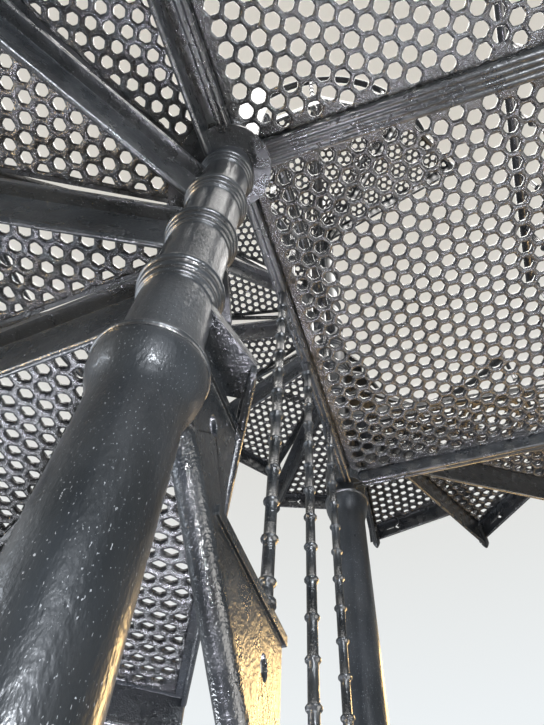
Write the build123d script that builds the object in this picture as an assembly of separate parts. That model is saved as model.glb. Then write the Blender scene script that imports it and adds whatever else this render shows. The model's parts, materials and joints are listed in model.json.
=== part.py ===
from build123d import *
import math
import os

# Cast-iron spiral stair: a lower flight about a newel, a landing on columns, and an upper flight about a post.
# Millimetres and degrees. The origin is the newel's foot, and the landing lies on its +X side.

# Plan and levels
rise = 200.0
landing_rises = 15
lower_treads = 5
upper_treads = 11
step_angle = 31.5
stair_radius = 900.0
landing_width = 900.0
far_bay = 1072.0
near_bay = 900.0

# Columns and newels
shaft_radius = 50.0
foot_radius = 105.0
foot_height = 24.0
plinth_radius = 72.0
plinth_height = 90.0
lip_radius = 61.0
bell_radius = 67.0
bell_height = 95.0
neck_radius = 40.0
neck_height = 55.0
hub_below = 150.0
hub_sides = 24
ring_step = 4.0
ring_heights = (12.0, 16.0, 18.0)
collar_radius = 96.0
collar_thickness = 12.0
head_radius = 44.0
head_height = 960.0
ball_radius = 46.0

# Tread castings
plate_thickness = 16.0
grating_thickness = 10.0
grating_seat = 2.0
rib_thickness = 8.0
rib_inset = 25.0
rib_depth = 130.0
nosing_offset = 120.0
nosing_turn = 6.6
nosing_width = 14.0
nosing_depth = 30.0
nosing_start = 55.0
slot_start = 110.0
slot_end = 480.0
slot_width = 34.0
rail_width = 10.0
root_reach = 118.0
end_border = 20.0
skirt_thickness = 8.0
skirt_depth = 92.0
boss_radius = 17.0
boss_drop = 118.0
boss_rise = 10.0
drop_length = 24.0
boss_sides = 8
piercing_length = 36.0
piercing_width = 9.0
piercing_from_rear = 110.0
prong_length = 24.0

# Gratings: plain six-sided holes, each standing in for four cells of the real mesh
cell_pitch = 88.0
cell_opening = 70.0
cell_border = 5.0

# Landing
rim_width = 28.0
rim_depth = 60.0
corner_radius = 62.0
newel_seat = 84.0
inner_column_x = 92.0
clearance = 0.3

# Balustrade
rail_height = 900.0
rail_radius = 21.0
baluster_radius = 10.0
knop_radius = 16.0
knop_height = 18.0
guard_spacing = 214.0
guard_inset = 14.0
guard_end = 20.0
rail_bends = 3

# Raking string between the newel and the post, with stepped webs and rods up to the landing
string_x = 18.0
string_going = 225.0
string_steps = 4
string_web = 8.0
string_bar = 24.0
string_start = 2019.0
step_bar_height = 16.0
step_bar_width = 18.0
step_bar_length = 250.0
first_step_end = 185.0
hole_size = (11.0, 16.0)
hole_set_back = 65.0
hole_share = 0.65
rod_set_back = 60.0
rod_knop_spacing = 75.0

landing_level = rise * landing_rises
first_level = landing_level - rise * lower_treads + rise
rim_level = landing_level - rim_depth
newel = (0.0, 0.0)
post = (0.0, far_bay)


def polar(radius, angle):
    return (radius * math.cos(math.radians(angle)), radius * math.sin(math.radians(angle)))


def slab(points, low, high):
    """A flat plate with the given outline, between two levels."""
    return Pos(0, 0, low) * extrude(make_face(Polyline(*points, close=True)), high - low)


def disc(place, radius, low, high):
    """An upright round plate between two levels."""
    return Pos(*place, low) * Cylinder(radius, high - low, align=(Align.CENTER, Align.CENTER, Align.MIN))


def turned(profile):
    """A turned solid from (radius, height) pairs, closed on the axis."""
    points = [(0, profile[0][1])]
    for point in profile + [(0, profile[-1][1])]:
        if math.dist(point, points[-1]) > 0.01:
            points.append(point)
    face = make_face(Plane.XZ * Polyline(*points, close=True))
    return revolve(face, Axis.Z)


def faceted(profile, sides):
    """A solid like a turned one from (radius, height) pairs, but with even flat sides."""
    rings = [[Vector(*polar(radius, 360 / sides * i), height) for i in range(sides)] for radius, height in profile]
    faces = [Face(Wire.make_polygon(rings[0])), Face(Wire.make_polygon(rings[-1]))]
    for low, high in zip(rings, rings[1:]):
        for i in range(sides):
            after = (i + 1) % sides
            faces.append(Face(Wire.make_polygon([low[i], low[after], high[after], high[i]])))
    return Solid(Shell(faces))


def hub(level):
    """One newel length: a plain shaft through its tread, then three rings, each wider, at its top end."""
    base = level - hub_below
    height = base + rise - sum(ring_heights)
    profile = [(shaft_radius, base), (shaft_radius, height)]
    for i, ring_height in enumerate(ring_heights):
        waist = shaft_radius + ring_step * i / 2
        swell = shaft_radius + (lip_radius - shaft_radius) * (i + 1) / len(ring_heights)
        profile += [(swell, height + ring_height * 0.6), (waist + ring_step / 2, height + ring_height)]
        height += ring_height
    return faceted(profile, hub_sides)


def column(top, neck):
    """A plain column: foot flange, plinth, shaft, a bell that flares to its lip, and a neck if it has one."""
    bell_top = top - neck
    bell_foot = bell_top - bell_height
    reach = bell_radius - shaft_radius
    profile = [(foot_radius, 0), (foot_radius, foot_height), (plinth_radius, foot_height)]
    profile += [(plinth_radius, plinth_height), (shaft_radius, plinth_height + plinth_radius - shaft_radius)]
    profile += [(shaft_radius, bell_foot), (shaft_radius + reach * 0.35, bell_foot + bell_height * 0.4)]
    profile += [(shaft_radius + reach * 0.9, bell_foot + bell_height * 0.7), (bell_radius, bell_top)]
    if neck > 0:
        profile += [(neck_radius, bell_top), (neck_radius, top)]
    return turned(profile)


# The tread's own frame: rear edge along +X from the newel, the tread on its -Y side, top at level 0.
front_direction = nosing_turn - step_angle
front_unit = polar(1, front_direction)
front_inward = polar(1, front_direction + 90)


def from_front(along, inward):
    """A point measured along the nosing line and inward from it."""
    x = -front_inward[0] * nosing_offset + front_unit[0] * along + front_inward[0] * inward
    y = -front_inward[1] * nosing_offset + front_unit[1] * along + front_inward[1] * inward
    return (x, y)


nosing_end = math.sqrt(stair_radius**2 - nosing_offset**2)
outer_rear = (stair_radius, 0.0)
outer_front = from_front(nosing_end, 0)
end_length = math.dist(outer_rear, outer_front)
end_unit = ((outer_front[0] - outer_rear[0]) / end_length, (outer_front[1] - outer_rear[1]) / end_length)
end_inward = (end_unit[1], -end_unit[0])
boss_centre = (stair_radius - boss_radius - 2, -rib_inset - rib_thickness / 2)


def from_end(along, inward):
    """A point measured along the outer end from its rear corner, and inward from it."""
    x = outer_rear[0] + end_unit[0] * along + end_inward[0] * inward
    y = outer_rear[1] + end_unit[1] * along + end_inward[1] * inward
    return (x, y)


def crossing(start, unit, other, other_unit):
    """Where two lines in plan cross."""
    det = unit[0] * other_unit[1] - unit[1] * other_unit[0]
    step = ((other[0] - start[0]) * other_unit[1] - (other[1] - start[1]) * other_unit[0]) / det
    return (start[0] + unit[0] * step, start[1] + unit[1] * step)


border = nosing_width + rail_width
grating_rear = -rib_inset - rib_thickness
end_line = from_end(0, end_border)
boss_room = boss_radius + 2
grating_outline = [
    (root_reach, grating_rear),
    (boss_centre[0] - boss_room, grating_rear),
    crossing((0, boss_centre[1] - boss_room), (1, 0), end_line, end_unit),
    crossing(from_front(0, border), front_unit, end_line, end_unit),
    from_front(slot_end, border),
    from_front(slot_start, border + slot_width),
]
slot_outline = [
    from_front(slot_start, nosing_width),
    from_front(slot_end, nosing_width),
    from_front(slot_start, nosing_width + slot_width),
]
tread_outline = [(0, 0), outer_rear, outer_front, from_front(nosing_start, 0), (-shaft_radius + 4, -10)]


def tread_frame():
    """The casting without its newel length: bordered plate, rear rib, nosing flange, end skirt and boss."""
    body = slab(tread_outline, -plate_thickness, 0)
    body -= slab(grating_outline, -plate_thickness, 0)
    body -= slab(slot_outline, -plate_thickness, 0)
    rib = [(shaft_radius - 8, -rib_inset), (stair_radius - boss_radius, -rib_inset)]
    rib += [(stair_radius - boss_radius, grating_rear), (shaft_radius - 20, grating_rear)]
    body += slab(rib, -rib_depth, -plate_thickness)
    nosing = [from_front(nosing_start, 0), from_front(nosing_end, 0)]
    nosing += [from_front(nosing_end - 4, rib_thickness), from_front(nosing_start, rib_thickness)]
    body += slab(nosing, -nosing_depth, -plate_thickness)
    taper = skirt_thickness / 2
    skirt = [from_end(0, 0), from_end(end_length, 0)]
    skirt += [from_end(end_length - taper, skirt_thickness), from_end(taper, skirt_thickness)]
    body += slab(skirt, -skirt_depth, -plate_thickness) - piercing()
    boss_profile = [(boss_radius * 0.3, -boss_drop - drop_length), (boss_radius * 0.7, -boss_drop - drop_length / 2)]
    boss_profile += [(boss_radius, -boss_drop), (boss_radius, boss_rise)]
    body += Pos(*boss_centre, 0) * faceted(boss_profile, boss_sides)
    return body


def piercing():
    """The cut through the outer skirt: a slot that points at a two-pronged fork."""
    middle = -(skirt_depth + plate_thickness) / 2
    half = piercing_width / 2
    fork = piercing_length / 2 + prong_length / 2
    shapes = [Rectangle(piercing_length, piercing_width)]
    for side in (1, -1):
        prong = Rot(0, 0, side * 45) * Rectangle(prong_length, piercing_width)
        shapes.append(Pos(fork + half, side * (prong_length / 2 - half) * 0.8) * prong)
    centre = from_end(piercing_from_rear, skirt_thickness / 2)
    upright = Plane(origin=(*centre, middle), x_dir=(*end_unit, 0), z_dir=(*end_inward, 0))
    cut = extrude(upright * shapes[0], skirt_thickness, both=True)
    for prong in shapes[1:]:
        cut += extrude(upright * prong, skirt_thickness, both=True)
    return cut


def tread(frame, level):
    """One tread casting with its newel length."""
    return Pos(0, 0, level) * frame + hub(level)


def landing_frame(low_y, high_y, corners, newels):
    """The cast rim of one landing panel, with bosses over its columns and a seat cut round the newel."""
    outline = [(0, low_y), (landing_width, low_y), (landing_width, high_y), (0, high_y)]
    panel = slab(outline, rim_level, landing_level)
    body = panel - slab(grating_box(low_y, high_y), rim_level, landing_level)
    for place in corners:
        body += disc(place, corner_radius, rim_level, landing_level)
    for place in newels:
        body += panel & disc(place, newel_seat, rim_level, landing_level)
        body -= disc(place, shaft_radius + clearance, rim_level, landing_level)
    return body


def mesh_plate(outline, bosses, low, high):
    """A plate with a field of six-sided holes that keep clear of its edges and of the bosses let into it."""
    room = cell_opening / 2 / math.cos(math.radians(30)) + cell_border
    left, right = min(x for x, y in outline), max(x for x, y in outline)
    front, rear = min(y for x, y in outline), max(y for x, y in outline)
    row_pitch = cell_pitch * math.cos(math.radians(30))
    holes = []
    for row in range(int((rear - front) / row_pitch) + 1):
        y = front + room + row_pitch * row
        for column in range(int((right - left) / cell_pitch) + 1):
            x = left + room + cell_pitch * (column + row % 2 / 2)
            clear = all(math.dist((x, y), place) > radius + room for place, radius in bosses)
            if clear and edge_distance(outline, x, y) > room:
                holes.append(Pos(x, y) * RegularPolygon(cell_opening / 2, 6, major_radius=False, rotation=30))
    return Pos(0, 0, low) * extrude(make_face(Polyline(*outline, close=True)) - holes, high - low)


def edge_distance(outline, x, y):
    """How far inside an outline without hollows a point lies; below zero outside it."""
    area = sum(a[0] * b[1] - a[1] * b[0] for a, b in zip(outline, outline[1:] + outline[:1]))
    distances = []
    for a, b in zip(outline, outline[1:] + outline[:1]):
        cross = (b[0] - a[0]) * (y - a[1]) - (b[1] - a[1]) * (x - a[0])
        distances.append(math.copysign(1, area) * cross / math.dist(a, b))
    return min(distances)


def landing_grating(low_y, high_y, corners, newels):
    """The plate that fills one landing panel, clear of its bosses and the newel's seat."""
    low = landing_level - grating_seat - grating_thickness
    high = landing_level - grating_seat
    bosses = [(place, corner_radius) for place in corners] + [(place, newel_seat) for place in newels]
    body = mesh_plate(grating_box(low_y, high_y), bosses, low, high)
    for place in corners:
        body -= disc(place, corner_radius + clearance, low, high)
    for place in newels:
        body -= disc(place, newel_seat + clearance, low, high)
    return body


def grating_box(low_y, high_y):
    """The opening that a landing panel's grating fills."""
    low_x = rim_width
    high_x = landing_width - rim_width
    return [(low_x, low_y + rim_width), (high_x, low_y + rim_width),
            (high_x, high_y - rim_width), (low_x, high_y - rim_width)]


def baluster(height):
    """A plain eight-sided rod."""
    return faceted([(baluster_radius, 0), (baluster_radius, height)], boss_sides)


def knopped_rod(height):
    """An eight-sided rod with knops at even spacing."""
    profile = [(baluster_radius, 0)]
    for i in range(int(height // rod_knop_spacing)):
        middle = rod_knop_spacing * (i + 0.5)
        profile += [(baluster_radius, middle - knop_height / 2), (knop_radius, middle)]
        profile += [(baluster_radius, middle + knop_height / 2)]
    profile += [(baluster_radius, height)]
    return faceted(profile, boss_sides)


def newel_head(base):
    """A newel's top length: shaft, ring, neck and a ball."""
    top = base + head_height
    profile = [(head_radius, base), (head_radius, top - head_radius), (ball_radius, top - head_radius * 0.8)]
    profile += [(head_radius, top - head_radius * 0.6), (head_radius * 0.5, top - head_radius * 0.2)]
    profile += [(ball_radius * math.cos(math.radians(a)), top + ball_radius * (0.7 + math.sin(math.radians(a))))
                for a in (-50, 0, 45, 80)]
    return faceted(profile, hub_sides)


def string_height(y):
    """Level of the raking string's centre line at a distance from the newel's axis."""
    return string_start - (y - shaft_radius) * rise / string_going


def step_end(index):
    """Where the front of one step bar on the string lies, along Y."""
    return first_step_end + string_going * index


def step_level(index):
    """Top of one step bar; the first lies right under the first tread's nosing."""
    return first_level - (rise * index if index else nosing_depth)


def string_casting():
    """The raking bar and its stepped webs; each web has an oval hole and carries a level bar."""
    near = shaft_radius
    far = far_bay - shaft_radius
    side = Plane.YZ.offset(string_x)
    lean = string_bar / 2 * math.hypot(rise, string_going) / string_going
    rake = Polyline((near, string_height(near) - lean), (far, string_height(far) - lean),
                    (far, string_height(far) + lean), (near, string_height(near) + lean), close=True)
    body = extrude(side * make_face(rake), string_bar / 2, both=True)
    for i in range(string_steps):
        level = step_level(i)
        end = step_end(i)
        start = max(end - step_bar_length, near)
        web = make_face(Polyline((start, level), (end, level), (end, string_height(end)),
                                 (start, string_height(start)), close=True))
        hole_y = end - hole_set_back
        hole_level = level * hole_share + string_height(hole_y) * (1 - hole_share)
        body += extrude(side * (web - Pos(hole_y, hole_level) * Ellipse(*hole_size)), string_web / 2, both=True)
        bar = make_face(Polyline((start, level - step_bar_height), (end + string_web, level - step_bar_height),
                                 (end + string_web, level), (start, level), close=True))
        body += extrude(side * bar, step_bar_width / 2, both=True)
    body -= disc(newel, bell_radius + clearance, 0, first_level - hub_below)
    body -= disc(newel, shaft_radius + clearance, 0, first_level)
    body -= disc(post, shaft_radius + clearance, 0, rim_level)
    return body


def rail_along(points):
    """A handrail of eight-sided section, mitred at each point."""
    path = Polyline(*points)
    start = Vector(*points[0])
    run = Vector(*points[1]) - start
    section = Plane(start, z_dir=run) * RegularPolygon(rail_radius, 8)
    return sweep(section, path=path, transition=Transition.RIGHT)


def flight_angles(first_angle, count):
    """The rear-edge angle of each tread in a flight, from the bottom."""
    return [first_angle + step_angle * i for i in range(count)]


def flight_rail(centre, angles, levels):
    """Points of a rail above the bosses of a flight, with bends between them."""
    radius = math.hypot(*boss_centre)
    lead = math.degrees(math.atan2(boss_centre[1], boss_centre[0]))
    points = []
    for i in range(len(angles) - 1):
        for k in range(rail_bends):
            share = k / rail_bends
            x, y = polar(radius, angles[i] + lead + step_angle * share)
            points.append((centre[0] + x, centre[1] + y, levels[i] + boss_rise + rail_height + rise * share))
    x, y = polar(radius, angles[-1] + lead)
    points.append((centre[0] + x, centre[1] + y, levels[-1] + boss_rise + rail_height))
    return points


def write(name, solids):
    """Writes one node; several like solids go into one compound."""
    shape = solids[0] if len(solids) == 1 else Compound(children=solids)
    shape.label = name
    export_step(shape, f"parts/{name}.step")


def balustrade(name, places, rail):
    """One row of balusters under its rail, as two nodes."""
    rod = baluster(rail_height)
    write(f"{name}_balusters", [Pos(*place) * rod - rail for place in places])
    write(f"{name}_rail", [rail])


os.makedirs("parts", exist_ok=True)

frame = tread_frame()
grating = mesh_plate(grating_outline, [], -grating_thickness - grating_seat, -grating_seat)

lower_angles = flight_angles(270 - step_angle * (lower_treads - 1), lower_treads)
lower_levels = [first_level + rise * i for i in range(lower_treads)]
upper_angles = flight_angles(step_angle, upper_treads)
upper_levels = [landing_level + rise * (i + 1) for i in range(upper_treads)]

# Lower flight about the newel
write("newel_column", [column(first_level - hub_below, 0)])
lower_gratings = []
for i, (angle, level) in enumerate(zip(lower_angles, lower_levels)):
    piece = Rot(0, 0, angle) * tread(frame, level)
    if i == lower_treads - 1:
        piece += disc(newel, collar_radius, rim_level - collar_thickness, rim_level)
    write(f"lower_tread_{i + 1}", [piece])
    lower_gratings.append(Rot(0, 0, angle) * Pos(0, 0, level) * grating)
write("lower_gratings", lower_gratings)
write("newel_head", [newel_head(landing_level - hub_below + rise)])

# Landing
far_corners = [post, (landing_width, far_bay)]
near_corners = [(inner_column_x, -near_bay), (landing_width, -near_bay)]
write("landing_frame_far", [landing_frame(0, far_bay, far_corners, [newel])])
write("landing_frame_near", [landing_frame(-near_bay, 0, near_corners, [newel])])
write("landing_grating_far", [landing_grating(0, far_bay, far_corners, [newel])])
write("landing_grating_near", [landing_grating(-near_bay, 0, near_corners, [newel])])
column_names = ["landing_column_post", "landing_column_far", "landing_column_inner", "landing_column_near"]
for name, place in zip(column_names, far_corners + near_corners):
    write(name, [Pos(*place, 0) * column(rim_level, neck_height)])

# Raking string under the landing's edge; a rod rises from each step bar but the first
write("raking_string", [string_casting()])
rods = []
for i in range(1, string_steps):
    rod = knopped_rod(rim_level - step_level(i))
    rods.append(Pos(string_x, step_end(i) - rod_set_back, step_level(i)) * rod)
write("string_rods", rods)

# Upper flight about the post
base_height = rise - hub_below
base_profile = [(lip_radius, 0), (lip_radius, base_height * 0.4), (shaft_radius, base_height * 0.7)]
base_profile += [(shaft_radius, base_height)]
write("upper_newel_base", [Pos(*post, landing_level) * faceted(base_profile, hub_sides)])
upper_gratings = []
for i, (angle, level) in enumerate(zip(upper_angles, upper_levels)):
    write(f"upper_tread_{i + 1}", [Pos(*post, 0) * Rot(0, 0, angle) * tread(frame, level)])
    upper_gratings.append(Pos(*post, level) * Rot(0, 0, angle) * grating)
write("upper_gratings", upper_gratings)
write("upper_newel_head", [Pos(*post, 0) * newel_head(upper_levels[-1] - hub_below + rise)])

# Balusters and handrails, each baluster shaped to the rail that lies on it
for name, centre, angles, levels in (("lower", newel, lower_angles, lower_levels),
                                     ("upper", post, upper_angles, upper_levels)):
    boss_radius_out = math.hypot(*boss_centre)
    lead = math.degrees(math.atan2(boss_centre[1], boss_centre[0]))
    places = []
    for angle, level in zip(angles, levels):
        x, y = polar(boss_radius_out, angle + lead)
        places.append((centre[0] + x, centre[1] + y, level + boss_rise))
    balustrade(name, places, rail_along(flight_rail(centre, angles, levels)))

guard_level = landing_level + rail_height
outer_x = landing_width - guard_inset
outer_low = corner_radius - near_bay
outer_run = far_bay - corner_radius - outer_low
outer_count = int(outer_run // guard_spacing)
outer_places = [(outer_x, outer_low + outer_run * i / outer_count, landing_level)
                for i in range(outer_count + 1)]
outer_ends = (guard_end - near_bay, far_bay - guard_end)
balustrade("outer_guard", outer_places, rail_along([(outer_x, y, guard_level) for y in outer_ends]))
inner_count = int(far_bay // guard_spacing)
inner_places = [(guard_inset, far_bay * i / inner_count, landing_level) for i in range(1, inner_count)]
inner_ends = (head_radius + clearance, far_bay - shaft_radius - clearance)
balustrade("inner_guard", inner_places, rail_along([(guard_inset, y, guard_level) for y in inner_ends]))
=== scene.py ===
import json
import math

import bpy
import numpy as np
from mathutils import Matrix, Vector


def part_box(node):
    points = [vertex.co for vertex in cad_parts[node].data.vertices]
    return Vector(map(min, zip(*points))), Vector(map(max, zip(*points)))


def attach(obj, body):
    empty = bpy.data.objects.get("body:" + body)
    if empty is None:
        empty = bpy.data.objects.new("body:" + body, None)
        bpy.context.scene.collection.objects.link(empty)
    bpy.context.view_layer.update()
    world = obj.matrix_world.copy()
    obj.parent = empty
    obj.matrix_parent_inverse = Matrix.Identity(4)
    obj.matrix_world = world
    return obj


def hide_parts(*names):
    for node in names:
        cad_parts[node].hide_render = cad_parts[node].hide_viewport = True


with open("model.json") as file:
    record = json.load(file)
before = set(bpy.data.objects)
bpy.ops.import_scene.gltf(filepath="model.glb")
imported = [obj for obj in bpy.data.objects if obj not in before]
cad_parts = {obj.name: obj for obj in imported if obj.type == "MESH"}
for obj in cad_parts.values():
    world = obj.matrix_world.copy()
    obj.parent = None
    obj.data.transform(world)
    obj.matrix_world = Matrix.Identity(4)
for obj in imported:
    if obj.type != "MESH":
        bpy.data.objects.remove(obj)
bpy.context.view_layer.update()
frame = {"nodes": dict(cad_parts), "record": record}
print("frame loaded:", len(frame["nodes"]), "nodes")

# Looking up from beside the newel, as in the photograph
cameraSetup = {
    "place": (0.256, -0.287, 1.507),
    "turn": (148.167, -2.271, 18.149),  # degrees about X, Y, Z
    "lens": 29.79,
    "sensorHeight": 36.0,
    "clipStart": 0.02,
}


def addCamera(setup):
    data = bpy.data.cameras.new("viewCamera")
    data.sensor_fit = "VERTICAL"
    data.sensor_height = setup["sensorHeight"]
    data.lens = setup["lens"]
    data.clip_start = setup["clipStart"]
    camera = bpy.data.objects.new("viewCamera", data)
    camera.location = setup["place"]
    camera.rotation_euler = [math.radians(a) for a in setup["turn"]]
    bpy.context.scene.collection.objects.link(camera)
    bpy.context.scene.camera = camera


addCamera(cameraSetup)
bpy.context.scene.view_settings.view_transform = "Standard"

# Pale cool walls low down, warm above; the ramp runs from level to straight up
roomLook = {
    "lowColour": (0.85, 0.89, 0.91), "lowEnd": 0.45,
    "highColour": (0.66, 0.63, 0.57), "highEnd": 0.95,
    "seenStrength": 1.0, "lightStrength": 0.40, "glossStrength": 0.30,
}


def addRoom(look):
    world = bpy.data.worlds.new("room")
    world.use_nodes = True
    nodes, links = world.node_tree.nodes, world.node_tree.links
    nodes.clear()
    output = nodes.new("ShaderNodeOutputWorld")
    background = nodes.new("ShaderNodeBackground")
    direction = nodes.new("ShaderNodeTexCoord")
    split = nodes.new("ShaderNodeSeparateXYZ")
    ramp = nodes.new("ShaderNodeValToRGB")
    for element, end in zip(ramp.color_ramp.elements, ("low", "high")):
        element.position = look[f"{end}End"]
        element.color = (*look[f"{end}Colour"], 1)

    # Strength: light on the object, changed to gloss for mirrored rays and to seen for the camera's own
    rays = nodes.new("ShaderNodeLightPath")
    glossy = nodes.new("ShaderNodeMath")
    glossy.operation = "MULTIPLY_ADD"
    glossy.inputs[1].default_value = look["glossStrength"] - look["lightStrength"]
    glossy.inputs[2].default_value = look["lightStrength"]
    seen = nodes.new("ShaderNodeMath")
    seen.operation = "MULTIPLY_ADD"
    seen.inputs[1].default_value = look["seenStrength"] - look["lightStrength"]
    links.new(direction.outputs["Generated"], split.inputs[0])
    links.new(split.outputs["Z"], ramp.inputs[0])
    links.new(ramp.outputs[0], background.inputs["Color"])
    links.new(rays.outputs["Is Glossy Ray"], glossy.inputs[0])
    links.new(rays.outputs["Is Camera Ray"], seen.inputs[0])
    links.new(glossy.outputs[0], seen.inputs[2])
    links.new(seen.outputs[0], background.inputs["Strength"])
    links.new(background.outputs[0], output.inputs[0])
    bpy.context.scene.world = world


# The floor throws back little light, and looks paler to the camera
floorLook = {"size": 14.0, "bounce": (0.20, 0.175, 0.15), "seen": (0.46, 0.45, 0.43), "roughness": 0.8}


def addFloor(look):
    half = look["size"] / 2
    mesh = bpy.data.meshes.new("floor")
    corners = [(-half, -half, 0), (half, -half, 0), (half, half, 0), (-half, half, 0)]
    mesh.from_pydata(corners, [], [(0, 1, 2, 3)])
    floor = bpy.data.objects.new("floor", mesh)
    bpy.context.scene.collection.objects.link(floor)
    material = bpy.data.materials.new("paleFloor")
    material.use_nodes = True
    nodes, links = material.node_tree.nodes, material.node_tree.links
    shader = nodes["Principled BSDF"]
    shader.inputs["Roughness"].default_value = look["roughness"]
    shade = nodes.new("ShaderNodeMix")
    shade.data_type = "RGBA"
    shade.inputs["A"].default_value = (*look["bounce"], 1)
    shade.inputs["B"].default_value = (*look["seen"], 1)
    links.new(nodes.new("ShaderNodeLightPath").outputs["Is Camera Ray"], shade.inputs["Factor"])
    links.new(shade.outputs["Result"], shader.inputs["Base Color"])
    mesh.materials.append(material)


addRoom(roomLook)
addFloor(floorLook)

# Soft lamps: name, place, aim, size in metres, power in watts, colour
lamps = [
    ("flash", (0.275, -0.300, 1.490), (0.02, 0.10, 2.6), 0.035, 3.4, (0.96, 0.97, 1.0)),
    ("lowWindow", (-0.20, 0.47, 0.60), (-0.10, 0.25, 3.0), 0.40, 70, (0.88, 0.88, 1.0)),
    ("lowLeft", (-1.34, 0.94, 1.17), (0.02, 0.35, 1.76), 0.7, 22, (0.90, 0.94, 1.0)),
    ("windowBehind", (1.55, -1.8, 2.25), (0.0, 0.0, 2.1), 0.8, 85, (0.88, 0.93, 1.0)),
    ("windowLeft", (-1.9, -1.1, 2.2), (0.0, 0.0, 2.4), 1.8, 45, (0.80, 0.89, 1.0)),
    ("windowRight", (2.6, 0.5, 1.0), (0.0, 0.3, 2.4), 1.8, 50, (1.0, 0.97, 0.92)),
    ("warmLeft", (-1.5, -1.5, 1.75), (0.0, 0.0, 2.1), 0.24, 22, (1.0, 0.66, 0.26)),
    ("warmFar", (0.45, 1.9, 2.7), (0.02, 0.2, 1.9), 0.45, 7, (1.0, 0.66, 0.28)),
    ("warmUnder", (1.3, 1.8, 2.2), (0.7, 1.5, 3.3), 0.3, 7, (1.0, 0.66, 0.30)),
    ("skyLamp", (0.5, 0.5, 8.5), (0.3, 0.4, 0.0), 4.5, 260, (1.0, 0.98, 0.95)),
]


def addLamp(name, place, aim, size, power, colour):
    data = bpy.data.lights.new(name, "AREA")
    data.size = size
    data.energy = power
    data.color = colour
    lamp = bpy.data.objects.new(name, data)
    away = np.array(place) - np.array(aim)
    flat = math.hypot(away[0], away[1])
    lamp.location = place
    lamp.rotation_euler = (math.atan2(flat, away[2]), 0, math.atan2(away[0], -away[1]))
    lamp.visible_camera = False
    bpy.context.scene.collection.objects.link(lamp)


for lamp in lamps:
    addLamp(*lamp)
print("camera, room and lamps placed")

# Thick gloss black paint over rough castings, one setting for each finish
paints = {
    "casting": {
        "slot": "black_casting", "dark": (0.005, 0.007, 0.009), "pale": (0.024, 0.028, 0.032),
        "dust": (0.30, 0.32, 0.34), "dustScale": 420, "dustLevel": 0.69,
        "roughLow": 0.18, "roughHigh": 0.42, "coat": 0.8, "coatRoughness": 0.11,
        "lumpScale": 70, "lumpHeight": 0.0014, "gritScale": 300, "gritHeight": 0.0009, "stretch": 1.0,
    },
    "shaft": {
        "slot": "black_casting", "dark": (0.003, 0.005, 0.007), "pale": (0.024, 0.029, 0.035),
        "dust": (0.30, 0.32, 0.34), "dustScale": 640, "dustLevel": 0.67,
        "roughLow": 0.26, "roughHigh": 0.50, "coat": 0.8, "coatRoughness": 0.16,
        "lumpScale": 34, "lumpHeight": 0.0012, "gritScale": 260, "gritHeight": 0.00055, "stretch": 0.45,
    },
    "grating": {
        "slot": "black_grating", "dark": (0.005, 0.006, 0.008), "pale": (0.022, 0.024, 0.026),
        "dust": (0.16, 0.16, 0.16), "dustScale": 300, "dustLevel": 0.74,
        "roughLow": 0.12, "roughHigh": 0.30, "coat": 1.0, "coatRoughness": 0.10,
        "lumpScale": 150, "lumpHeight": 0.0035, "gritScale": 420, "gritHeight": 0.0012, "stretch": 1.0,
    },
    "rail": {
        "slot": "black_rail", "dark": (0.006, 0.007, 0.009), "pale": (0.018, 0.020, 0.023),
        "dust": (0.16, 0.17, 0.18), "dustScale": 360, "dustLevel": 0.74,
        "roughLow": 0.14, "roughHigh": 0.32, "coat": 0.9, "coatRoughness": 0.12,
        "lumpScale": 80, "lumpHeight": 0.0012, "gritScale": 320, "gritHeight": 0.0004, "stretch": 1.0,
    },
}

# What all the paints share; a noise is (scale, detail), a band is the part of it that is used
paintBase = {
    "ior": 1.52, "coatIor": 1.6,
    "toneNoise": (9, 5), "toneBand": (0.35, 0.68),
    "roughNoise": (24, 6), "roughBand": (0.3, 0.7),
    "dustDetail": 2, "dustEdge": 0.06, "dustCover": 0.75,
    "lumpDetail": 3, "gritDetail": 2,
}


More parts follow.
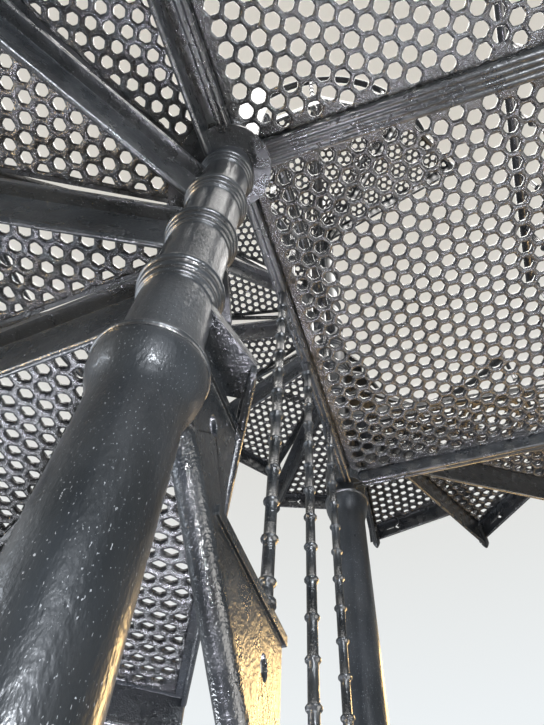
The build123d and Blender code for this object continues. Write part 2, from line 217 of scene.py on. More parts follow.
def paintMaterial(name, look, base):
    material = bpy.data.materials.new(name)
    material.use_nodes = True
    nodes, links = material.node_tree.nodes, material.node_tree.links
    shader = nodes["Principled BSDF"]
    shader.inputs["IOR"].default_value = base["ior"]
    shader.inputs["Coat Weight"].default_value = look["coat"]
    shader.inputs["Coat Roughness"].default_value = look["coatRoughness"]
    shader.inputs["Coat IOR"].default_value = base["coatIor"]
    place = nodes.new("ShaderNodeTexCoord")
    drawn = nodes.new("ShaderNodeMapping")  # a stretch under 1 draws the pattern out into upright streaks
    drawn.inputs["Scale"].default_value = (1, 1, look["stretch"])
    links.new(place.outputs["Object"], drawn.inputs["Vector"])

    def noise(scale, detail):
        texture = nodes.new("ShaderNodeTexNoise")
        texture.inputs["Scale"].default_value = scale
        texture.inputs["Detail"].default_value = detail
        links.new(drawn.outputs["Vector"], texture.inputs["Vector"])
        return texture.outputs["Fac"]

    def remap(value, band, result):
        step = nodes.new("ShaderNodeMapRange")
        for socket, number in zip(("From Min", "From Max", "To Min", "To Max"), (*band, *result)):
            step.inputs[socket].default_value = number
        links.new(value, step.inputs["Value"])
        return step.outputs["Result"]

    def mixColour(factor, first, second):
        mix = nodes.new("ShaderNodeMix")
        mix.data_type = "RGBA"
        links.new(factor, mix.inputs["Factor"])
        for socket, colour in ((mix.inputs["A"], first), (mix.inputs["B"], second)):
            if isinstance(colour, tuple):
                socket.default_value = (*colour, 1)
            else:
                links.new(colour, socket)
        return mix.outputs["Result"]

    def bump(height, scale, detail):
        node = nodes.new("ShaderNodeBump")
        node.inputs["Distance"].default_value = height
        links.new(noise(scale, detail), node.inputs["Height"])
        return node

    # Slow change of tone, then pale specks of dust and worn paint
    tone = mixColour(remap(noise(*base["toneNoise"]), base["toneBand"], (0, 1)), look["dark"], look["pale"])
    dustBand = (look["dustLevel"], look["dustLevel"] + base["dustEdge"])
    specks = remap(noise(look["dustScale"], base["dustDetail"]), dustBand, (0, base["dustCover"]))
    links.new(mixColour(specks, tone, look["dust"]), shader.inputs["Base Color"])
    rough = remap(noise(*base["roughNoise"]), base["roughBand"], (look["roughLow"], look["roughHigh"]))
    links.new(rough, shader.inputs["Roughness"])

    # Runs and lumps in the paint, then fine grit
    lumps = bump(look["lumpHeight"], look["lumpScale"], base["lumpDetail"])
    grit = bump(look["gritHeight"], look["gritScale"], base["gritDetail"])
    links.new(lumps.outputs["Normal"], grit.inputs["Normal"])
    links.new(grit.outputs["Normal"], shader.inputs["Normal"])
    links.new(grit.outputs["Normal"], shader.inputs["Coat Normal"])
    return material


# Each finish: its paint and the material slot that it stands for
finishes = {name: (paintMaterial(f"{name}Paint", look, paintBase), look["slot"])
            for name, look in paints.items()}
finishOfSlot = {"black_casting": "casting", "black_grating": "grating", "black_rail": "rail"}
slotOfNode = {row["node"]: row["material_slot"] for row in frame["record"]["subparts"]}
for name, node in frame["nodes"].items():
    node.data.materials.clear()
    node.data.materials.append(finishes[finishOfSlot[slotOfNode[name]]][0])
print("paints mixed")

# The stair's own sizes, in metres and degrees
stair = {
    "rise": 0.2, "landing": 3.0, "lowerTreads": 5, "upperTreads": 11, "stepAngle": 31.5,
    "lastLowerAngle": 270, "newelPlace": (0.0, 0.0), "postPlace": (0.0, 1.072),
    "radius": 0.9, "shaft": 0.05, "hubBelow": 0.15,
}

# Each flight: where its newel stands, then the angle and the level of each of its treads
lowerSteps = np.arange(stair["lowerTreads"]) - stair["lowerTreads"] + 1
upperSteps = np.arange(stair["upperTreads"]) + 1
flights = {
    "lower": (stair["newelPlace"], stair["lastLowerAngle"] + stair["stepAngle"] * lowerSteps,
              stair["landing"] + stair["rise"] * lowerSteps),
    "upper": (stair["postPlace"], stair["stepAngle"] * upperSteps,
              stair["landing"] + stair["rise"] * upperSteps),
}

noTriangles = np.zeros((0, 3), int)
noQuads = np.zeros((0, 4), int)
weldLook = {"reach": 2e-5, "shift": 0.137}  # the shift keeps round sizes off the edges of the weld's cells


# Merges points that coincide, and turns quads that lost a corner into triangles
def weld(points, quads, triangles):
    keys = np.round(points / weldLook["reach"] + weldLook["shift"]).astype(np.int64)
    _, first, where = np.unique(keys, axis=0, return_index=True, return_inverse=True)
    points = points[first]
    quads = where.reshape(-1)[quads.reshape(-1, 4)]
    triangles = where.reshape(-1)[triangles.reshape(-1, 3)]
    lost = [quads[:, i] == quads[:, (i + 1) % 4] for i in range(4)]
    count = sum(flag.astype(int) for flag in lost)
    crossed = (quads[:, 0] == quads[:, 2]) | (quads[:, 1] == quads[:, 3])
    whole = quads[(count == 0) & ~crossed]
    extra = [np.roll(quads[lost[i] & (count == 1) & ~crossed], -i - 1, axis=1)[:, :3] for i in range(4)]
    triangles = np.concatenate([triangles] + extra)
    same = (triangles[:, 0] == triangles[:, 1]) | (triangles[:, 1] == triangles[:, 2])
    same |= triangles[:, 0] == triangles[:, 2]
    return points, whole, triangles[~same]


# Smooth unevenness at each point: sine waves in random directions, added up to about -1 to 1
def unevenness(points, wavelength, seed, waves=14, spread=(0.6, 1.7)):
    random = np.random.default_rng(seed)
    total = np.zeros(len(points))
    for _ in range(waves):
        direction = random.normal(size=3)
        direction *= 2 * math.pi / wavelength * random.uniform(*spread) / np.linalg.norm(direction)
        total += np.sin(points @ direction + random.uniform(0, 2 * math.pi))
    return total / (waves / 2)


# A piece from a grid of points and quads; a look with a lump pushes its points in and out along their normals
def makePiece(name, grid, finish, look=None, nodes=(), triangles=noTriangles):
    points, quads, triangles = weld(*grid, triangles)
    mesh = bpy.data.meshes.new(name)
    mesh.vertices.add(len(points))
    mesh.vertices.foreach_set("co", points.astype(np.float32).ravel())
    corners = np.concatenate([quads.ravel(), triangles.ravel()]).astype(np.int32)
    sizes = np.concatenate([np.full(len(quads), 4), np.full(len(triangles), 3)]).astype(np.int32)
    mesh.loops.add(len(corners))
    mesh.loops.foreach_set("vertex_index", corners)
    mesh.polygons.add(len(sizes))
    mesh.polygons.foreach_set("loop_start", (np.cumsum(sizes) - sizes).astype(np.int32))
    mesh.polygons.foreach_set("use_smooth", np.ones(len(sizes), bool))
    mesh.update(calc_edges=True)
    if look:
        normals = np.zeros(len(points) * 3, np.float32)
        mesh.vertices.foreach_get("normal", normals)
        push = look["lump"] * unevenness(points, look["wavelength"], len(name))
        points = points + normals.reshape(-1, 3) * push[:, None]
        mesh.vertices.foreach_set("co", points.astype(np.float32).ravel())
        mesh.update()
    paint, slotName = finishes[finish]
    mesh.materials.append(paint)
    piece = bpy.data.objects.new(name, mesh)
    bpy.context.scene.collection.objects.link(piece)
    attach(piece, "root")
    if nodes:
        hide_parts(*nodes)
    return piece


# Quads between neighbouring rows of a grid of points, rows by columns, closed round each row
def gridQuads(rows, columns):
    row, column = np.meshgrid(np.arange(rows - 1), np.arange(columns), indexing="ij")
    after = (column + 1) % columns
    low, high = row * columns, (row + 1) * columns
    return np.stack([low + column, low + after, high + after, high + column], -1).reshape(-1, 4)


# A turned form: each (radius, height) of the profile carried once round the upright axis at a place
def turnedGrid(profile, place, segments):
    profile = np.array(profile, float)
    angle = np.arange(segments) * 2 * math.pi / segments
    x = place[0] + profile[:, :1] * np.cos(angle)
    y = place[1] + profile[:, :1] * np.sin(angle)
    z = np.repeat(profile[:, 1:], segments, axis=1)
    return np.stack([x, y, z], -1).reshape(-1, 3), gridQuads(len(profile), segments)


# Several grids put into one
def gather(grids):
    points, quads, start = [], [], 0
    for gridPoints, gridFaces in grids:
        points.append(gridPoints)
        quads.append(gridFaces + start)
        start += len(gridPoints)
    return np.concatenate(points), np.concatenate(quads)


# Half-round moulding: radius swells by a half sine between two heights
def beadProfile(radius, low, high, swell, steps=9):
    t = np.linspace(0, math.pi, steps)
    return list(zip(radius + swell * np.sin(t), (low + high) / 2 - (high - low) / 2 * np.cos(t)))


# Profile points up a shaft of one radius, about a step apart
def straight(radius, low, high, step):
    count = max(2, int((high - low) / step))
    return [(radius, z) for z in np.linspace(low, high, count)]


# A rounded upper edge
def edgeOff(radius, level, size):
    return [(radius, level - size), (radius - size, level)]


# A cove where a shaft leaves a level: how far out and how far up each of its points is
def cove(radius, level, steps):
    return [(radius + out, level + up) for out, up in steps]


# Columns: foot, plinth, shaft, bell and neck
columnLook = {
    "foot": 0.105, "footHeight": 0.024, "footRound": 0.006, "plinthCove": ((0.004, 0.002), (0.0, 0.010)),
    "plinth": 0.072, "plinthHeight": 0.09, "plinthRound": 0.004,
    "shaftCove": ((0.008, 0.014), (0.002, 0.020)), "shaftStart": 0.03, "shaftGap": 0.004, "step": 0.03,
    "neck": 0.04, "neckHeight": 0.055, "neckCove": ((0.004, 0.002), (0.0, 0.008)),
    "bellHeight": 0.086, "bellRadius": 0.0672, "crown": 0.003,
    "flareUp": (0, 0.18, 0.36, 0.54, 0.72, 0.86, 1), "flareOut": (0, 0.05, 0.24, 0.53, 0.76, 0.86, 0.88),
    "flareSteps": 24, "bowlGap": 0.002, "lipHeight": 0.009, "lipGap": 0.0008,
    "lipCove": 0.78, "lipRoot": 0.80, "lipSwell": 0.20,  # shares of the bell's reach beyond the shaft
    "segments": 72, "lump": 0.00022, "wavelength": 0.05,
}


# Bell: the shaft flares out like a bowl, then a fine cove and a thin lip that stands proud
def bellProfile(look, shaft, top):
    width = look["bellRadius"] - shaft
    t = np.linspace(0, 1, look["flareSteps"])
    flare = np.interp(t, look["flareUp"], look["flareOut"])
    flare = np.convolve(np.pad(flare, 1, "edge"), np.ones(3) / 3, "valid")
    bowlTop = top - look["lipHeight"] - look["bowlGap"]
    bowl = list(zip(shaft + width * flare, bowlTop - (look["bellHeight"] - look["lipHeight"]) * (1 - t)))
    underLip = [(shaft + width * look["lipCove"], top - look["lipHeight"] - look["lipGap"])]
    lip = beadProfile(shaft + width * look["lipRoot"], top - look["lipHeight"], top, width * look["lipSwell"])
    return bowl + underLip + lip


def columnProfile(look, shaft, top, neckHeight):
    bellTop = top - neckHeight
    shaftEnd = bellTop - look["bellHeight"] - look["shaftGap"]
    profile = [(0, 0), (look["foot"], 0)]
    profile += edgeOff(look["foot"], look["footHeight"], look["footRound"])
    profile += cove(look["plinth"], look["footHeight"], look["plinthCove"])
    profile += edgeOff(look["plinth"], look["plinthHeight"], look["plinthRound"])
    profile += cove(shaft, look["plinthHeight"], look["shaftCove"])
    profile += straight(shaft, look["plinthHeight"] + look["shaftStart"], shaftEnd, look["step"])
    profile += bellProfile(look, shaft, bellTop)
    if neckHeight > 0:
        profile += cove(look["neck"], bellTop, look["neckCove"]) + [(look["neck"], top)]
    else:
        profile += [(look["bellRadius"] - look["crown"], top)]
    return profile + [(0, top)]


# Each column's node and place; with no place it stands in the middle of its node's box
columns = {
    "newelShaft": ("newel_column", stair["newelPlace"]),
    "landingColumnPost": ("landing_column_post", stair["postPlace"]),
    "landingColumnFar": ("landing_column_far", None),
    "landingColumnInner": ("landing_column_inner", None),
    "landingColumnNear": ("landing_column_near", None),
}
for name, (node, place) in columns.items():
    low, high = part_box(node)
    if place is None:
        place = ((low.x + high.x) / 2, (low.y + high.y) / 2)
    # The lowest tread sits straight on the newel's bell, with no neck
    neckHeight = 0 if name == "newelShaft" else columnLook["neckHeight"]
    profile = columnProfile(columnLook, stair["shaft"], high.z, neckHeight)
    makePiece(name, turnedGrid(profile, place, columnLook["segments"]), "shaft", columnLook, [node])
print("columns turned")

# Newel lengths: a sleeve just over each cast hub, with its rings and lip drawn finely
hubLook = {
    "skin": 0.0004, "skinTop": 0.0002, "tuck": 0.004, "foot": 0.0005,
    "sleeveStart": 0.006, "sleeveEnd": 0.050, "step": 0.012,
    # Rings: how far out, how far their foot and their top are below the hub's top, and their swell
    "rings": ((0.0, 0.047, 0.034, 0.0045), (0.003, 0.033, 0.017, 0.0045)),
    "lip": 0.061, "lipRoot": 0.005, "lipHeight": 0.016, "segments": 72, "lump": 0.00018, "wavelength": 0.04,
}


def hubProfile(look, shaft, level):
    base = level - stair["hubBelow"]
    top = base + stair["rise"]
    radius = shaft + look["skin"]
    profile = [(shaft - look["tuck"], base + look["foot"]), (radius, base + look["foot"])]
    profile += straight(radius, base + look["sleeveStart"], top - look["sleeveEnd"], look["step"])
    for out, low, high, swell in look["rings"]:
        profile += beadProfile(radius + out, top - low, top - high, swell)
    lipSwell = look["lip"] - shaft - look["lipRoot"]
    profile += beadProfile(radius + look["lipRoot"], top - look["lipHeight"], top, lipSwell)
    return profile + [(shaft - look["tuck"], top + look["skinTop"])]


for name, (place, _, levels) in flights.items():
    hubs = [turnedGrid(hubProfile(hubLook, stair["shaft"], z), place, hubLook["segments"]) for z in levels]
    makePiece(f"{name}Hubs", gather(hubs), "shaft", hubLook)
print("hubs dressed")

# Hexagonal gratings: every cell is a rounded hexagonal hole in a lumpy wall
gratingLook = {
    "landingPitch": 0.044, "landingWall": 0.0125, "landingThickness": 0.017,
    "treadPitch": 0.040, "treadWall": 0.0155, "treadThickness": 0.015, "edgeWall": 0.007,
    "chamfer": 0.0016, "chamferHeight": 0.0012, "chamferWall": 0.6,  # share of the edge's wall
    "keptDepth": -0.52, "openDepth": 0.12,  # shares of the pitch inside the outline
    "seat": 0.002, "roundness": 14.0, "perSide": 3, "lump": 0.0010, "wavelength": 0.016,
}


# Inward normal and offset of each edge of a convex outline
# A point's depth inside an edge is normal times point plus offset
def edgeLines(outline):
    along = np.roll(outline, -1, axis=0) - outline
    area = np.sum(outline[:, 0] * np.roll(outline[:, 1], -1) - outline[:, 1] * np.roll(outline[:, 0], -1))
    normal = np.stack([-along[:, 1], along[:, 0]], 1) * np.sign(area)
    normal /= np.linalg.norm(normal, axis=1)[:, None]
    return normal, -np.sum(normal * outline, axis=1)


# Points outside the outline, less a margin, are brought back to its nearest edge
def keepInside(points, normal, offset, margin, rounds=4):
    for _ in range(rounds):
        for n, d in zip(normal, offset):
            short = np.minimum(points @ n + d - margin, 0)
            points = points - short[..., None] * n
    return points


# Centres of a triangular lattice about the outline's middle, with cells to spare on every side
def latticeCentres(outline, pitch, turn, spare=1.3):
    middle = outline.mean(0)
    reach = int(np.max(np.linalg.norm(outline - middle, axis=1)) / pitch * spare) + 2
    i, j = np.meshgrid(np.arange(-reach, reach + 1), np.arange(-reach, reach + 1), indexing="ij")
    first = pitch * np.array([math.cos(turn), math.sin(turn)])
    second = pitch * np.array([math.cos(turn + math.pi / 3), math.sin(turn + math.pi / 3)])
    return middle + i[..., None] * first + j[..., None] * second


# One cell about its centre: the points of its six-sided border, their directions, and how far a rounded
# hexagon of half width 1 reaches in each: one over the high-power norm of how far it faces the six flats
def cellRing(pitch, turn, look):
    side = look["perSide"]
    cornerAngle = turn + math.pi / 6 + math.pi / 3 * (np.arange(7) - 1)
    cornerPoints = pitch / math.sqrt(3) * np.stack([np.cos(cornerAngle), np.sin(cornerAngle)], -1)
    share = np.arange(side)[:, None] / side
    border = np.concatenate([cornerPoints[k] * (1 - share) + cornerPoints[k + 1] * share for k in range(6)])
    unit = border / np.linalg.norm(border, axis=1)[:, None]
    flat = turn + math.pi / 3 * np.arange(6)
    facing = np.maximum(unit @ np.stack([np.cos(flat), np.sin(flat)]), 0)
    return border, unit, (facing ** look["roundness"]).sum(1) ** (-1 / look["roundness"])


# One grating: the lattice's cells that reach into the outline, cut to it; rows go up the wall of each hole
def gratingGrid(outline, kind, turn, look, top):
    pitch, wall, thickness = look[f"{kind}Pitch"], look[f"{kind}Wall"], look[f"{kind}Thickness"]
    outline = np.array(outline, float)
    normal, offset = edgeLines(outline)
    centres = latticeCentres(outline, pitch, turn)
    depth = np.min(centres @ normal.T + offset, axis=-1)
    kept = depth > pitch * look["keptDepth"]
    border, unit, rounded = cellRing(pitch, turn, look)

    cells = centres[kept]
    solid = depth[kept] < pitch * look["openDepth"]  # too near the edge for a hole
    hole = (pitch - wall) / 2
    margin = look["edgeWall"]
    wideHole = unit * (rounded * (hole + look["chamfer"]))[:, None]
    outer = keepInside(cells[:, None] + border, normal, offset, 0)
    wide = keepInside(cells[:, None] + wideHole, normal, offset, margin * look["chamferWall"])
    narrow = keepInside(cells[:, None] + unit * (rounded * hole)[:, None], normal, offset, margin)
    closed = keepInside(cells[:, None] + unit * 0, normal, offset, margin)
    wide[solid] = closed[solid]
    narrow[solid] = closed[solid]

    def level(flatPoints, z):
        return np.concatenate([flatPoints, np.full((*flatPoints.shape[:2], 1), z)], -1)

    bottom, chamfer = top - thickness, look["chamferHeight"]
    rows = [level(outer, bottom), level(wide, bottom + chamfer), level(narrow, (bottom + top) / 2),
            level(wide, top - chamfer), level(outer, top)]
    points = np.stack(rows, 1)
    count = len(border)
    start = np.arange(len(cells))[:, None, None] * len(rows) * count
    rowOfQuad = np.repeat(np.arange(len(rows) - 1), count)
    flatQuads = (rowOfQuad == 0) | (rowOfQuad == len(rows) - 2)  # all that a cell without a hole has
    faces = start + gridQuads(len(rows), count)[:, ::-1]
    faces = [faces[~solid].reshape(-1, 4), faces[solid][:, flatQuads].reshape(-1, 4)]

    # Upright walls where the next cell is left out
    padded = np.pad(kept, 1)
    rowsKept, columnsKept = kept.shape
    side, lift = look["perSide"], (len(rows) - 1) * count
    for k, (di, dj) in enumerate([(1, 0), (0, 1), (-1, 1), (-1, 0), (0, -1), (1, -1)]):
        missing = ~padded[1 + di:1 + di + rowsKept, 1 + dj:1 + dj + columnsKept][kept]
        index = np.arange(k * side, (k + 1) * side)
        after = (index + 1) % count
        upright = np.stack([index, after, after + lift, index + lift], -1)
        faces.append((start[missing] + upright).reshape(-1, 4))
    return points.reshape(-1, 3), np.concatenate(faces)


# A tread in its own frame, with its rear edge along +X from the newel
treadPlan = {
    "ribInset": 0.025, "ribThickness": 0.008, "nosingOffset": 0.120, "nosingTurn": 6.6, "nosingWidth": 0.014,
    "railWidth": 0.010, "slotStart": 0.110, "slotEnd": 0.480, "slotWidth": 0.034,
    "rootReach": 0.118, "endBorder": 0.020, "bossRadius": 0.017, "bossGap": 0.002,
}


# Lines of a tread: along its nosing and square to that, the nosing's reach, the front and rear outer corners,
# and along the skirt between them
def treadFrame(plan):
    direction = math.radians(plan["nosingTurn"] - stair["stepAngle"])
    front = np.array([math.cos(direction), math.sin(direction)])
    inward = np.array([-front[1], front[0]])
    reach = math.sqrt(stair["radius"] ** 2 - plan["nosingOffset"] ** 2)
    outerFront = front * reach - inward * plan["nosingOffset"]
    outerRear = np.array([stair["radius"], 0.0])
    skirt = (outerFront - outerRear) / np.linalg.norm(outerFront - outerRear)
    return front, inward, reach, outerFront, outerRear, skirt


# Where two lines cross, each given by a point and a direction
def meet(lineA, lineB):
    (a, u), (b, v) = lineA, lineB
    steps = np.linalg.solve(np.stack([u, -v], 1), b - a)
    return a + u * steps[0]


def treadGratingOutline(plan):
    front, inward, _, _, outerRear, skirt = treadFrame(plan)

    def fromFront(along, distance):
        return front * along + inward * (distance - plan["nosingOffset"])

    endLine = (outerRear + np.array([skirt[1], -skirt[0]]) * plan["endBorder"], skirt)
    rear = -plan["ribInset"] - plan["ribThickness"]
    room = plan["bossRadius"] + plan["bossGap"]
    boss = (stair["radius"] - plan["bossRadius"] - plan["bossGap"], rear + plan["ribThickness"] / 2)
    border = plan["nosingWidth"] + plan["railWidth"]
    return np.array([
        (plan["rootReach"], rear),
        (boss[0] - room, rear),
        meet((np.array([0, boss[1] - room]), np.array([1.0, 0.0])), endLine),
        meet((fromFront(0, border), front), endLine),
        fromFront(plan["slotEnd"], border),
        fromFront(plan["slotStart"], border + plan["slotWidth"]),
    ])


# Plan points turned by an angle in degrees and moved to a place
def turnPlan(points, angle, place):
    c, s = math.cos(math.radians(angle)), math.sin(math.radians(angle))
    return np.array(points) @ np.array([[c, s], [-s, c]]) + np.array(place)


def treadGratings(name, place, angles, levels, node):
    outline = treadGratingOutline(treadPlan)
    grids = []
    for angle, top in zip(angles, levels - gratingLook["seat"]):
        turned = turnPlan(outline, angle, place)
        grids.append(gratingGrid(turned, "tread", math.radians(angle), gratingLook, top))
    makePiece(name, gather(grids), "grating", gratingLook, [node])


# The upper flight's are in two pieces, so that each stays light
upperPlace, upperAngles, upperLevels = flights["upper"]
half = (stair["upperTreads"] + 1) // 2
treadGratings("lowerGratingHoles", *flights["lower"], "lower_gratings")
treadGratings("upperGratingHolesLow", upperPlace, upperAngles[:half], upperLevels[:half], "upper_gratings")
treadGratings("upperGratingHolesHigh", upperPlace, upperAngles[half:], upperLevels[half:], "upper_gratings")

# Landing's gratings: one lattice each, with the corners cut off where a column's boss or the newel comes in
landingPanels = {
    "far": {"x": (0.028, 0.872), "y": (0.028, 1.044), "columns": [stair["postPlace"], (0.9, 1.072)]},
    "near": {"x": (0.028, 0.872), "y": (-0.872, -0.028), "columns": [(0.092, -0.9), (0.9, -0.9)]},
}
landingLook = {"newelSeat": 0.084, "columnSeat": 0.062, "seatGap": 0.0005, "latticeTurn": 30}


# Corners of a landing panel at one height, let out by a width on each side
def panelCorners(panel, z, width=0.0):
    (x0, x1), (y0, y1) = panel["x"], panel["y"]
    x0, y0, x1, y1 = x0 - width, y0 - width, x1 + width, y1 + width
    return [(x0, y0, z), (x1, y0, z), (x1, y1, z), (x0, y1, z)]


# Points within a round boss are pushed out to its edge
def keepClear(points, centre, radius):
    away = points[:, :2] - np.array(centre)
    distance = np.linalg.norm(away, axis=1)
    short = distance < radius
    points[short, :2] = np.array(centre) + away[short] / distance[short, None] * radius
    return points


for name, panel in landingPanels.items():
    top = stair["landing"] - gratingLook["seat"]
    outline = [corner[:2] for corner in panelCorners(panel, top)]
    turn = math.radians(landingLook["latticeTurn"])
    points, faces = gratingGrid(outline, "landing", turn, gratingLook, top)
    seats = [(stair["newelPlace"], landingLook["newelSeat"])]
    seats += [(centre, landingLook["columnSeat"]) for centre in panel["columns"]]
    for centre, radius in seats:
        points = keepClear(points, centre, radius + landingLook["seatGap"])
    pieceName = f"landingGratingHoles{name.title()}"
    makePiece(pieceName, (points, faces), "grating", gratingLook, [f"landing_grating_{name}"])
print("gratings cast")

# Castings whose solids are right: the same form with its edges rounded, as thick paint leaves them
castLook = {"rounding": 0.0022, "segments": 2, "angle": 32}


def roundedCopy(node, look):
    source = frame["nodes"][node].data
    points = np.zeros(len(source.vertices) * 3, np.float32)
    source.vertices.foreach_get("co", points)
    corners = np.zeros(len(source.loops), np.int32)
    source.loops.foreach_get("vertex_index", corners)
    name = node.replace("_", " ").title().replace(" ", "") + "Cast"
    grid = (points.reshape(-1, 3).astype(float), noQuads)
    piece = makePiece(name, grid, "casting", None, [node], corners.reshape(-1, 3))
    bevel = piece.modifiers.new("roundedEdges", "BEVEL")
    bevel.width = look["rounding"]
    bevel.segments = look["segments"]
    bevel.limit_method = "ANGLE"
    bevel.angle_limit = math.radians(look["angle"])
    bevel.harden_normals = True


castings = [f"lower_tread_{i + 1}" for i in range(stair["lowerTreads"])]
castings += [f"upper_tread_{i + 1}" for i in range(stair["upperTreads"])]
castings += ["landing_frame_far", "landing_frame_near", "raking_string"]
for node in castings:
    roundedCopy(node, castLook)
print("castings rounded")

# Turned rods: a shank with knops at even spacing and a collar at its foot
rodLook = {
    "shank": 0.0094, "knop": 0.0136, "knopLength": 0.014, "knopSteps": 9, "knopPower": 1.3,
    "collar": 0.014, "collarHeight": 0.012, "collarShare": 0.7,
    "sides": 14, "lump": 0.0002, "wavelength": 0.03,
}
railLook = {"radius": 0.0203, "sides": 24, "step": 0.03, "lump": 0.0002, "wavelength": 0.05}
balusterPlan = {
    "bossPlace": (0.881, -0.029), "bossRise": 0.010, "railHeight": 0.9, "knopSpacing": 0.150,
    "outerGuard": {"x": 0.886, "y": (-0.838, 1.010), "count": 9, "rail": (-0.880, 1.052)},
    "innerGuard": {"x": 0.014, "y": (0.2144, 0.8576), "count": 4, "rail": (0.0443, 1.0217)},
}


# Profile of a rod between two heights; each knop swells and sinks again as a cosine raised to a power
def rodProfile(look, low, high, spacing):
    shank, collar, rise = look["shank"], look["collar"], look["collarHeight"]
    profile = [(0, low), (collar, low), (collar, low + rise * look["collarShare"]), (shank, low + rise)]
    t = np.linspace(-1, 1, look["knopSteps"])
    swell = (look["knop"] - shank) * np.cos(t * math.pi / 2) ** look["knopPower"]
    for i in range(int((high - low) / spacing)):
        middle = low + spacing * (i + 0.5)
        profile += list(zip(shank + swell, middle + t * (look["knopLength"] / 2)))
    return profile + [(shank, high), (0, high)]


def rodRow(name, places, highs, spacing, node, finish):
    rods = [turnedGrid(rodProfile(rodLook, z, high, spacing), (x, y), rodLook["sides"])
            for (x, y, z), high in zip(places, highs)]
    makePiece(name, gather(rods), finish, rodLook, [node])


# A round bar along a path: rings square to the path, drawn in to a dome at both ends
def barGrid(path, radius, sides):
    path = np.array(path, float)
    run = np.gradient(path, axis=0)
    run /= np.linalg.norm(run, axis=1)[:, None]
    side = np.cross(run, (0, 0, 1.0))
    side /= np.linalg.norm(side, axis=1)[:, None]
    up = np.cross(side, run)
    steps = np.linalg.norm(np.diff(path, axis=0), axis=1)
    gone = np.concatenate([[0], np.cumsum(steps)])
    near = np.minimum(np.minimum(gone, gone[-1] - gone) / radius, 1)
    width = radius * np.sqrt(np.maximum(1 - (1 - near) ** 2, 0))
    angle = np.arange(sides) * 2 * math.pi / sides
    ring = side[:, None] * np.cos(angle)[:, None] + up[:, None] * np.sin(angle)[:, None]
    points = path[:, None] + ring * width[:, None, None]
    return points.reshape(-1, 3), gridQuads(len(path), sides)


# Shares of the way along a bar, close together at both ends where the dome is
def barShares(length, look):
    dome = np.array([0, 0.08, 0.25, 0.5, 0.75, 1.0]) * look["radius"] / length
    middle = np.linspace(dome[-1], 1 - dome[-1], max(3, int(length / look["step"])))
    return np.concatenate([dome[:-1], middle, 1 - dome[-2::-1]])


def railPiece(name, pathAt, length, node):
    grid = barGrid(pathAt(barShares(length, railLook)), railLook["radius"], railLook["sides"])
    makePiece(name, grid, "rail", railLook, [node])


# Flights: a rod on each tread's boss, and a rail that climbs over them as a helix
bossX, bossY = balusterPlan["bossPlace"]
bossReach = math.hypot(bossX, bossY)
bossLead = math.degrees(math.atan2(bossY, bossX))
for name, (centre, angles, levels) in flights.items():
    turn = np.radians(angles + bossLead)
    foot = levels + balusterPlan["bossRise"]

    def around(turns, heights, centre=centre):
        x, y = centre[0] + bossReach * np.cos(turns), centre[1] + bossReach * np.sin(turns)
        return np.stack([x, y, heights], 1)

    def helix(share, turn=turn, foot=foot, around=around):
        height = foot[0] + (foot[-1] - foot[0]) * share + balusterPlan["railHeight"]
        return around(turn[0] + (turn[-1] - turn[0]) * share, height)

    rodRow(f"{name}Balusters", around(turn, foot), foot + balusterPlan["railHeight"],
           balusterPlan["knopSpacing"], f"{name}_balusters", "rail")
    length = math.hypot(bossReach * (turn[-1] - turn[0]), foot[-1] - foot[0])
    railPiece(f"{name}Handrail", helix, length, f"{name}_rail")

# Landing's guards: rods along each side, and a level rail over them
guardTop = stair["landing"] + balusterPlan["railHeight"]
for name, node in (("outerGuard", "outer_guard"), ("innerGuard", "inner_guard")):
    plan = balusterPlan[name]
    start, end = plan["rail"]
    y = np.linspace(*plan["y"], plan["count"])
    places = np.stack([np.full_like(y, plan["x"]), y, np.full_like(y, stair["landing"])], 1)
    rodRow(f"{name}Balusters", places, np.full_like(y, guardTop), balusterPlan["knopSpacing"],
           f"{node}_balusters", "rail")

    def levelRun(share, x=plan["x"], start=start, end=end):
        y = start + (end - start) * share
        return np.stack([np.full_like(y, x), y, np.full_like(y, guardTop)], 1)

    railPiece(f"{name}Handrail", levelRun, end - start, f"{node}_rail")

# Rods from the raking string up to the landing
stringRods = {
    "x": 0.018, "y": (0.350, 0.800), "count": 3, "low": (2.0, 1.6), "high": 2.94, "knopSpacing": 0.075,
}
y = np.linspace(*stringRods["y"], stringRods["count"])
feet = np.linspace(*stringRods["low"], stringRods["count"])
places = np.stack([np.full_like(y, stringRods["x"]), y, feet], 1)
rodRow("knoppedRods", places, np.full_like(y, stringRods["high"]), stringRods["knopSpacing"],
       "string_rods", "casting")

# Half-round beads that finish the castings' lower edges: bars sunk into each rib, nosing, skirt and rim
beadLook = {
    "radius": 0.0062, "sunk": 0.003, "sides": 12, "step": 0.05, "lump": 0.0002, "wavelength": 0.03,
    "edgeInset": 0.004, "ribDepth": 0.130, "ribEnd": 0.030,
    "nosingDepth": 0.030, "nosingStart": 0.060, "nosingEnd": 0.006,
    "skirtDepth": 0.092, "skirtStart": 0.034, "skirtEnd": 0.008,
    "rimLevel": 2.94, "rimWidth": 0.028, "rimInset": 0.007,
}


def beadGrid(start, end, look):
    start, end = np.array(start, float), np.array(end, float)
    share = barShares(np.linalg.norm(end - start), look)
    return barGrid(start + (end - start) * share[:, None], look["radius"], look["sides"])


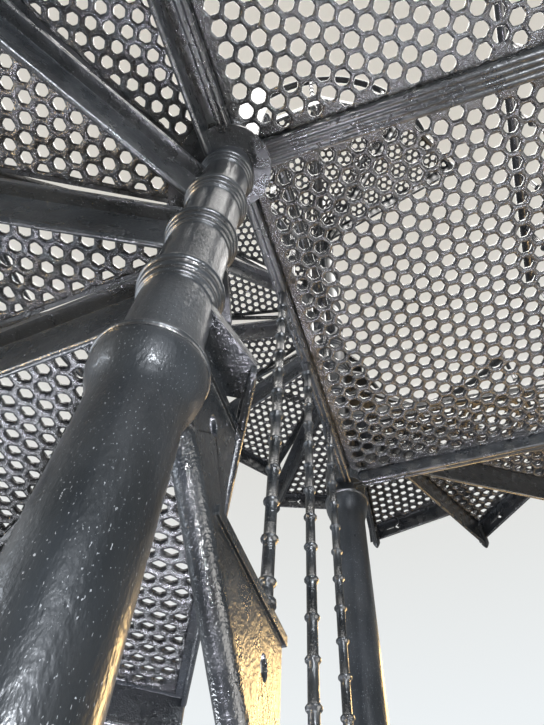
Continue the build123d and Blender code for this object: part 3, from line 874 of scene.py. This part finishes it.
# Start, end and depth below the tread's top of the beads on its rib, nosing and skirt
def treadBeadLines(plan, look):
    front, inward, reach, outerFront, outerRear, skirt = treadFrame(plan)
    offset = inward * (look["edgeInset"] - plan["nosingOffset"])
    skirtInward = np.array([skirt[1], -skirt[0]]) * look["edgeInset"]
    ribY = -plan["ribInset"] - plan["ribThickness"] / 2
    ribEnd = stair["radius"] - look["ribEnd"]
    nosingStart = front * look["nosingStart"] + offset
    nosingEnd = front * (reach - look["nosingEnd"]) + offset
    skirtStart = outerRear + skirtInward + skirt * look["skirtStart"]
    skirtEnd = outerFront + skirtInward - skirt * look["skirtEnd"]
    return [
        (np.array([stair["shaft"], ribY]), np.array([ribEnd, ribY]), look["ribDepth"]),
        (nosingStart, nosingEnd, look["nosingDepth"]),
        (skirtStart, skirtEnd, look["skirtDepth"]),
    ]


for name, (place, angles, levels) in flights.items():
    beads = []
    for angle, level in zip(angles, levels):
        for start, end, depth in treadBeadLines(treadPlan, beadLook):
            z = level - depth + beadLook["sunk"]
            start, end = turnPlan([start, end], angle, place)
            beads.append(beadGrid((*start, z), (*end, z), beadLook))
    makePiece(f"{name}TreadBeads", gather(beads), "casting", beadLook)

rimBeads = []
for panel in landingPanels.values():
    for inset in (beadLook["rimInset"], beadLook["rimWidth"] - beadLook["rimInset"]):
        z = beadLook["rimLevel"] + beadLook["sunk"]
        corners = panelCorners(panel, z, beadLook["rimWidth"] - inset)
        rimBeads += [beadGrid(a, b, beadLook) for a, b in zip(corners, corners[1:] + corners[:1])]
makePiece("landingRimBeads", gather(rimBeads), "casting", beadLook)

# Round bar over the raking string's square one, from the newel to the post
rakeLook = {"x": 0.018, "start": (0.0503, 2.019), "slope": -0.2 / 0.225, "far": 1.0217, "radius": 0.0172,
            "sides": 24, "step": 0.03, "lump": 0.0004, "wavelength": 0.04}
rakeY, rakeZ = rakeLook["start"]
rakeEnd = rakeZ + rakeLook["slope"] * (rakeLook["far"] - rakeY)
rakeGrid = beadGrid((rakeLook["x"], rakeY, rakeZ), (rakeLook["x"], rakeLook["far"], rakeEnd), rakeLook)
makePiece("rakingBar", rakeGrid, "casting", rakeLook)
print("beads run along the edges")

# Newel heads: shaft, ring, neck and a ball; the heights of ring, shoulder and neck are below the head's top
headLook = {
    "shaft": 0.0438, "height": 0.96, "shaftStart": 0.01, "shaftEnd": 0.045, "step": 0.03,
    "ring": 0.0458, "ringLow": 0.044, "ringHigh": 0.028, "shoulder": 0.86, "shoulderDrop": 0.018,
    "neck": 0.022, "neckDrop": 0.008, "ball": 0.045, "ballLift": 0.0322, "ballFrom": 58, "ballSteps": 22,
    "segments": 64, "lump": 0.0002, "wavelength": 0.04,
}


def headProfile(look, base):
    shaft, ball = look["shaft"], look["ball"]
    top = base + look["height"]
    profile = [(0, base), (shaft, base)]
    profile += straight(shaft, base + look["shaftStart"], top - look["shaftEnd"], look["step"])
    profile += beadProfile(shaft, top - look["ringLow"], top - look["ringHigh"], look["ring"] - shaft)
    profile += [(shaft * look["shoulder"], top - look["shoulderDrop"])]
    profile += [(look["neck"], top - look["neckDrop"])]
    angle = np.linspace(-math.radians(look["ballFrom"]), math.pi / 2, look["ballSteps"])
    return profile + list(zip(ball * np.cos(angle), top + look["ballLift"] + ball * np.sin(angle)))


heads = {
    "newelHead": ("newel_head", stair["newelPlace"]),
    "postHead": ("upper_newel_head", stair["postPlace"]),
}
for name, (node, place) in heads.items():
    low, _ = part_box(node)
    profile = headProfile(headLook, low.z)
    makePiece(name, turnedGrid(profile, place, headLook["segments"]), "casting", headLook, [node])
print("rods, rails and heads turned")
